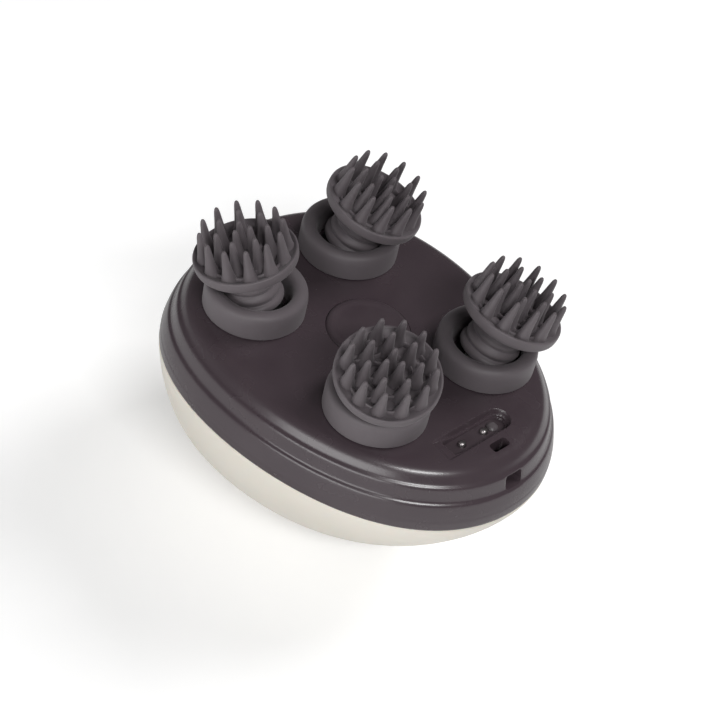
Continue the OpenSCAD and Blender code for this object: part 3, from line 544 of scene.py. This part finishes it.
lower = dict(
    depth=jointHeight, shift=16.0, shiftPower=1.4, bluntness=2.7, fall=1.3,
    baseShare=0.355,                   # of the outline, at the floor
    floor=2.6,
    columns=360,
    rows=90, crowding=1.6,             # rows are closer towards the floor
    insideRows=(0.995, 0.04, 44), flatRows=8,
    seamInset=0.35, seamDepth=0.008,   # the fine dark seam between the shells
    buttonX=-16.0, dimpleRadius=12.0, dimpleDepth=2.2, boreRadius=9.4, boreFloor=2.4,
    tongueInset=2.55, tongue=1.35, tongueHeight=2.2, tongueRoot=-1.5,
    sharp=40,
)


# Rows of the dome. At depth u, from 0 at the joint line to 1 at the floor, the oval's half axes
# shrink by (1 - (1 - b^n) u^f)^(1/n), b being the share left at the floor, and its centre moves
# back by s u^p
def domeRings(u, inset, depth, t):
    u = u[:, None]
    bluntness = lower["bluntness"]
    lost = 1 - lower["baseShare"] ** bluntness
    size = (1 - lost * u ** lower["fall"]) ** (1 / bluntness)
    x, y = oval(body["halfLength"] * size - inset, body["halfWidth"] * size - inset, t)
    x = x - lower["shift"] * u ** lower["shiftPower"]
    return np.stack([x, y, jointHeight - u * depth + 0 * t], -1)


# The dome's rows run down the outside, over the flat ring it stands on, up the well and the bore of
# the button, back up the inside and over the tongue that enters the upper shell
def makeLowerShell():
    t = np.linspace(0, 2 * np.pi, lower["columns"], endpoint=False)
    u = 1 - (1 - np.linspace(0, 1, lower["rows"])) ** lower["crowding"]
    outer = domeRings(u, 0, lower["depth"], t)
    outer[0] = domeRings(np.array([0.0]), lower["seamInset"], lower["depth"], t)[0]
    seam = domeRings(np.array([lower["seamDepth"]]), 0.0, lower["depth"], t)
    r, d, bore = lower["dimpleRadius"], lower["dimpleDepth"], lower["boreRadius"]
    bend = softened([(r + 1.2, 0), (r + 0.4, 0), (r, 0.5), (r - 0.05, d - 0.5), (r - 0.5, d),
                     (r - 1.2, d)], 2)
    boreTop = d + lower["boreFloor"]
    well = np.vstack([bend, [(bore + 0.3, d), (bore, d + 0.3), (bore, boreTop), (r + 2, boreTop)]])
    circle = turned(well, len(t)) + np.array([lower["buttonX"], 0, 0])
    share = np.linspace(0, 1, lower["flatRows"])[1:-1, None, None]
    flat = outer[-1] * (1 - share) + circle[0] * share
    inside = domeRings(np.linspace(*lower["insideRows"]), body["wall"],
                       lower["depth"] - lower["floor"], t)
    near, far = lower["tongueInset"], lower["tongueInset"] + lower["tongue"]
    tongue = insetRings(np.array([(far, lower["tongueRoot"]), (far, lower["tongueHeight"]),
                                  (near, lower["tongueHeight"]), (near, 0.0)]), t)
    tongue[..., 2] += jointHeight
    rows = np.concatenate([outer[:1], seam, outer[1:], flat, circle, inside, tongue])
    return makePiece("casing_dome", [facedOutwards(*gridFaces(rows, "loop"))], lower["sharp"])


rideAs(makeLowerShell(), "casing", "dome_plastic", ivorySatin, "lower_shell")
print("dome made")

# Small turned pieces on the casing

button = dict(profile=[(0.0, 1.55), (4.0, 1.5), (6.6, 1.3), (7.9, 1.05), (8.55, 1.02), (8.95, 1.35),
                       (9.0, 1.9), (9.0, 4.6), (10.4, 4.7), (10.4, 5.8), (2.0, 5.8), (2.0, 7.9),
                       (0.0, 7.9)],
              columns=128, step=0.25)
turnedSharp = 40


# A closed body of revolution: a softened profile from one end of the axis to the other, turned
# round it
def turnedShell(profile, columns, step, times=3, place=(0, 0, 0)):
    line = evenly(softened(profile, times), step)
    verts, quads, fans = gridFaces(turned(line[1:-1], columns), "poles")
    return facedOutwards(verts + np.array(place), quads, fans)


capShell = turnedShell(cap["profile"], cap["columns"], cap["step"], place=(cap["x"], 0, plateTop))
rideAs(makePiece("plate_cap", [capShell], turnedSharp), "casing", "shell_plastic", capSatin,
       "centre_cap")
buttonShell = turnedShell(button["profile"], button["columns"], button["step"], times=2,
                          place=(lower["buttonX"], 0, 0))
rideAs(makePiece("power_key", [buttonShell], turnedSharp), "button", "button_plastic", buttonSatin,
       "power_button")

collar = dict(profile=[(9.35, 0.0), (14.35, 0.0), (14.4, 0.7), (14.4, 4.2), (14.35, 6.0), (13.95, 7.5),
                       (12.6, 8.25), (11.3, 8.15), (10.2, 7.4), (9.82, 6.0), (9.8, 2.6), (9.35, 0.8)],
              columns=144, step=0.3)


# A collar: its closed profile turned round the head's upright axis
def makeCollar(number):
    line = np.array(collar["profile"])
    line = evenly(softened(np.vstack([line, line[:1]]), 3), collar["step"])[:-1]
    points = turned(line, collar["columns"]) + np.array([*headPlaces[number - 1], plateTop])
    return makePiece(f"soft_collar_{number}", [facedOutwards(*gridFaces(points, "loop"))])


for number in (1, 2, 3, 4):
    rideAs(makeCollar(number), "casing", "soft_silicone", collarSilicone, f"collar_{number}")
print("collars made")


# The four heads

# Takes points from a head's own axis, Z along it, to their place: tilt about Y through the point
# where the leaning axis crosses the upright one, turn to the lean, then up on to the plate
def onHead(points, number):
    tilt, lean, rise = rad(heads["tilt"]), heads["leans"][number - 1], heads["axisRise"]
    c, s = math.cos(tilt), math.sin(tilt)
    tilted = (points - np.array([0, 0, rise])) @ np.array([[c, 0, -s], [0, 1, 0], [s, 0, c]])
    return placed(tilted, lean, (*headPlaces[number - 1], plateTop + rise))


neck = dict(
    profile=[(5.1, 2.8), (7.9, 2.8), (8.6, 3.2), (8.7, 4.2), (8.4, 5.0), (7.6, 5.5), (7.55, 5.9),
             (8.0, 6.4), (8.05, 7.2), (7.6, 8.1), (7.0, 8.6), (7.0, 9.0), (7.55, 9.5), (7.55, 10.4),
             (7.1, 11.2), (7.0, 13.2), (7.5, 14.8), (8.2, 15.4), (5.1, 15.4)],
    columns=112, step=0.25)
disc = dict(
    profile=[(10.05, 0.0), (12.4, 0.0), (13.6, 0.2), (14.25, 0.8), (14.48, 1.7), (14.5, 2.8),
             (14.45, 3.5), (14.15, 3.8), (13.8, 3.65), (13.3, 3.2), (12.6, 2.85), (11.2, 2.4),
             (9.5, 2.1), (0.0, 1.9)],
    hole=10.05, under=1.05,   # the hub's flange fills this from below
    columns=160, step=0.3)
prong = dict(
    foot=2.2,
    rings=((12, 11.3, 0), (7, 7.1, 12), (3, 2.4, 40)),   # how many, at what radius, turned by
    profile=[(2.3, -1.1), (2.5, -0.5), (2.35, 0.2), (2.0, 1.0), (1.72, 2.0), (1.48, 3.2), (1.27, 4.7),
             (1.06, 6.4), (0.89, 8.0), (0.76, 9.0), (0.58, 9.7), (0.34, 10.08), (0.0, 10.15)],
    columns=24, step=0.4)
web = dict(top=4.9, sag=1.7, halfWidth=0.5, footWidth=0.9, low=1.2, rows=9, columns=12)


# The disc: one closed turned surface over the hub's flange, floor and raised rim
def discShell(number):
    line = evenly(softened(disc["profile"], 2), disc["step"])[:-1]
    under = np.array([(0.2, disc["under"]), (disc["hole"], disc["under"])])
    points = turned(np.vstack([under, line]), disc["columns"]) + np.array([0, 0, heads["discUp"]])
    verts, quads, fans = gridFaces(points, "poles")
    return facedOutwards(onHead(verts, number), quads, fans)


# Where the prongs stand on a head, ring by ring
def prongPlaces(number):
    rings = []
    for count, radius, start in prong["rings"]:
        turn = np.radians(start + heads["phases"][number - 1] + 360 * np.arange(count) / count)
        rings.append(np.stack([radius * np.cos(turn), radius * np.sin(turn)], -1))
    return rings


# One prong turned round its own axis; it flares at the foot into the disc
def prongShells(number):
    line = evenly(softened(prong["profile"], 2), prong["step"])[:-1]
    verts, quads, fans = gridFaces(turned(line, prong["columns"]), "poles")
    up = heads["discUp"] + prong["foot"]
    return [facedOutwards(onHead(verts + np.array([x, y, up]), number), quads, fans)
            for x, y in np.vstack(prongPlaces(number))]


# A low web between two prongs: along it u goes from -1 to 1 and its top lies at top - sag (1 - u²);
# across it the section is an arch that widens to its foot
def webShell(first, second, number):
    u = np.linspace(-1, 1, web["rows"])[:, None]
    a = np.linspace(0, 2 * np.pi, web["columns"], endpoint=False)
    top = web["top"] - web["sag"] * (1 - u ** 2)
    wide = np.where(np.sin(a) > 0, web["halfWidth"], web["footWidth"])
    along = (first + second) / 2 + u * (second - first) / 2
    side = np.array([first[1] - second[1], second[0] - first[0]])
    side = side / np.linalg.norm(side)
    across = wide * np.cos(a) + 0 * u
    height = web["low"] + (top - web["low"]) * (np.sin(a) * 0.5 + 0.5)
    points = np.stack([along[:, :1] + across * side[0], along[:, 1:] + across * side[1],
                       heads["discUp"] + height], -1)
    verts, quads, fans = gridFaces(points, "poles")
    return facedOutwards(onHead(verts, number), quads, fans)


# Webs run round each ring, and from each prong to the nearest one of the ring inside it
def webShells(number):
    rings = prongPlaces(number)
    pairs = [(ring[k], ring[(k + 1) % len(ring)]) for ring in rings for k in range(len(ring))]
    for outer, inner in zip(rings[:-1], rings[1:]):
        near = np.linalg.norm(outer[:, None] - inner[None], axis=2).argmin(1)
        pairs += list(zip(outer, inner[near]))
    return [webShell(first, second, number) for first, second in pairs]


# A neck: its closed ribbed profile turned round the head's leaning axis
def makeNeck(number):
    line = np.array(neck["profile"])
    line = evenly(softened(np.vstack([line, line[:1]]), 2), neck["step"])[:-1]
    points = turned(line, neck["columns"])
    verts, quads, fans = gridFaces(points, "loop")
    return makePiece(f"bellows_neck_{number}", [facedOutwards(onHead(verts, number), quads, fans)])


for number in (1, 2, 3, 4):
    rideAs(makeNeck(number), f"head_{number}", "soft_silicone", headSilicone, f"neck_boot_{number}")
    parts = [discShell(number)] + prongShells(number) + webShells(number)
    head = makePiece(f"prong_head_{number}", parts)
    rideAs(head, f"head_{number}", "soft_silicone", headSilicone, f"scalp_head_{number}")
print("heads made")

# Charging contacts

charging = dict(
    down=2.55,   # from the plate to the top of the insert that they stand in
    contactY=(-6.8, 1.6), studY=4.8,
    contact=[(0.0, 1.2), (0.5, 1.18), (0.95, 0.85), (1.18, 0.35), (1.2, 0.0), (1.2, -4.0),
             (0.0, -4.0)],
    stud=[(0.0, 0.92), (0.75, 0.9), (1.15, 0.72), (1.6, 0.3), (1.7, 0.1), (1.7, -2.3), (0.0, -2.3)],
    columns=64, step=0.1,
)


# A contact or the stud, standing in the insert at y
def standing(profile, y):
    return turnedShell(profile, charging["columns"], charging["step"], times=2,
                       place=(recess["x"], y, plateTop - charging["down"]))


pins = [standing(charging["contact"], y) for y in charging["contactY"]]
rideAs(makePiece("charging_pins", pins, turnedSharp), "casing", "contact_gold", platedContact,
       "charging_contacts")
stud = standing(charging["stud"], charging["studY"])
rideAs(makePiece("magnet_stud", [stud], turnedSharp), "casing", "stud_black", studGloss,
       "charging_stud")

# Finishes of the nodes that stay as they are

finishOf = {
    "shell_seal": sealRubber,
    "drive_gear": whiteNylon, "second_gear": blueNylon, "first_gear": redNylon,
    "drive_axle": groundSteel, "second_axle": groundSteel, "first_axle": groundSteel,
    "motor_pinion": turnedBronze, "motor_shaft": groundSteel, "motor_body": motorCan,
    "motor_screws": groundSteel, "gear_deck": deckPlastic, "deck_screws": groundSteel,
    "battery_cell": cellWrap, "battery_cradle": deckPlastic, "cradle_screws": groundSteel,
    "circuit_board": boardMask, "board_screws": groundSteel, "power_switch": switchPlastic,
    "charging_insert": insertPlastic,
}
for number in (1, 2, 3, 4):
    finishOf[f"head_bush_{number}"] = bushAcetal
    finishOf[f"output_gear_{number}"] = whiteNylon
    finishOf[f"head_hub_{number}"] = hubPlastic
for name, finish in finishOf.items():
    nodes[name].data.materials.clear()
    nodes[name].data.materials.append(finish)
print("nodes finished:", len(finishOf))

# Studio

studio = dict(
    floorSize=6.0, floorTone=0.80,
    floorGlow=0.36,    # only for the camera, so that the lit paper comes out white
    world=0.10, aimHeight=0.04,
    glossy=("key", "front"),   # lamps that show in the gloss of the shell
)

floorMesh = bpy.data.meshes.new("studioFloor")
half = studio["floorSize"] / 2
corners = [(-half, -half, 0), (half, -half, 0), (half, half, 0), (-half, half, 0)]
floorMesh.from_pydata(corners, [], [(0, 1, 2, 3)])
floor = bpy.data.objects.new("studioFloor", floorMesh)
bpy.context.scene.collection.objects.link(floor)
paper = bpy.data.materials.new("studioPaper")
paper.use_nodes = True
tree = paper.node_tree
tree.nodes.clear()
matt = tree.nodes.new("ShaderNodeBsdfDiffuse")
matt.inputs["Color"].default_value = (studio["floorTone"],) * 3 + (1,)
glow = tree.nodes.new("ShaderNodeEmission")
path = tree.nodes.new("ShaderNodeLightPath")
level = tree.nodes.new("ShaderNodeMath")
level.operation = "MULTIPLY"
level.inputs[1].default_value = studio["floorGlow"]
tree.links.new(path.outputs["Is Camera Ray"], level.inputs[0])
tree.links.new(level.outputs[0], glow.inputs["Strength"])
both = tree.nodes.new("ShaderNodeAddShader")
tree.links.new(matt.outputs[0], both.inputs[0])
tree.links.new(glow.outputs[0], both.inputs[1])
out = tree.nodes.new("ShaderNodeOutputMaterial")
tree.links.new(both.outputs[0], out.inputs["Surface"])
floorMesh.materials.append(paper)

world = bpy.data.worlds.new("studioWorld")
bpy.context.scene.world = world
world.use_nodes = True
tree = world.node_tree
tree.nodes.clear()
room = tree.nodes.new("ShaderNodeBackground")
room.inputs["Strength"].default_value = studio["world"]
seen = tree.nodes.new("ShaderNodeBackground")
seen.inputs["Strength"].default_value = 1.0
path = tree.nodes.new("ShaderNodeLightPath")
mix = tree.nodes.new("ShaderNodeMixShader")
tree.links.new(path.outputs["Is Camera Ray"], mix.inputs[0])
tree.links.new(room.outputs[0], mix.inputs[1])
tree.links.new(seen.outputs[0], mix.inputs[2])
out = tree.nodes.new("ShaderNodeOutputWorld")
tree.links.new(mix.outputs[0], out.inputs["Surface"])

# Each lamp: direction it stands in (degrees round Z and up), distance, size and power
lamps = dict(
    key=dict(azimuth=-30, height=46, away=1.3, size=(0.50, 0.18), power=7.0),
    front=dict(azimuth=-75, height=14, away=1.3, size=(1.1, 0.5), power=7.0),
    left=dict(azimuth=-140, height=12, away=1.3, size=(0.8, 0.6), power=3.5),
    back=dict(azimuth=75, height=46, away=1.4, size=(0.65, 0.65), power=12.5),
)
for name, lamp in lamps.items():
    light = bpy.data.lights.new(name + "Lamp", "AREA")
    light.shape = "RECTANGLE"
    light.size, light.size_y = lamp["size"]
    light.energy = lamp["power"]
    holder = bpy.data.objects.new(name + "Lamp", light)
    holder.visible_glossy = name in studio["glossy"]
    bpy.context.scene.collection.objects.link(holder)
    a, e = rad(lamp["azimuth"]), rad(lamp["height"])
    stand = Vector((math.cos(a) * math.cos(e), math.sin(a) * math.cos(e), math.sin(e))) * lamp["away"]
    holder.matrix_world = (Matrix.Translation(stand + Vector((0, 0, studio["aimHeight"])))
                           @ (-stand).to_track_quat("-Z", "Y").to_matrix().to_4x4())

bpy.context.scene.view_settings.view_transform = "Standard"
print("studio set")
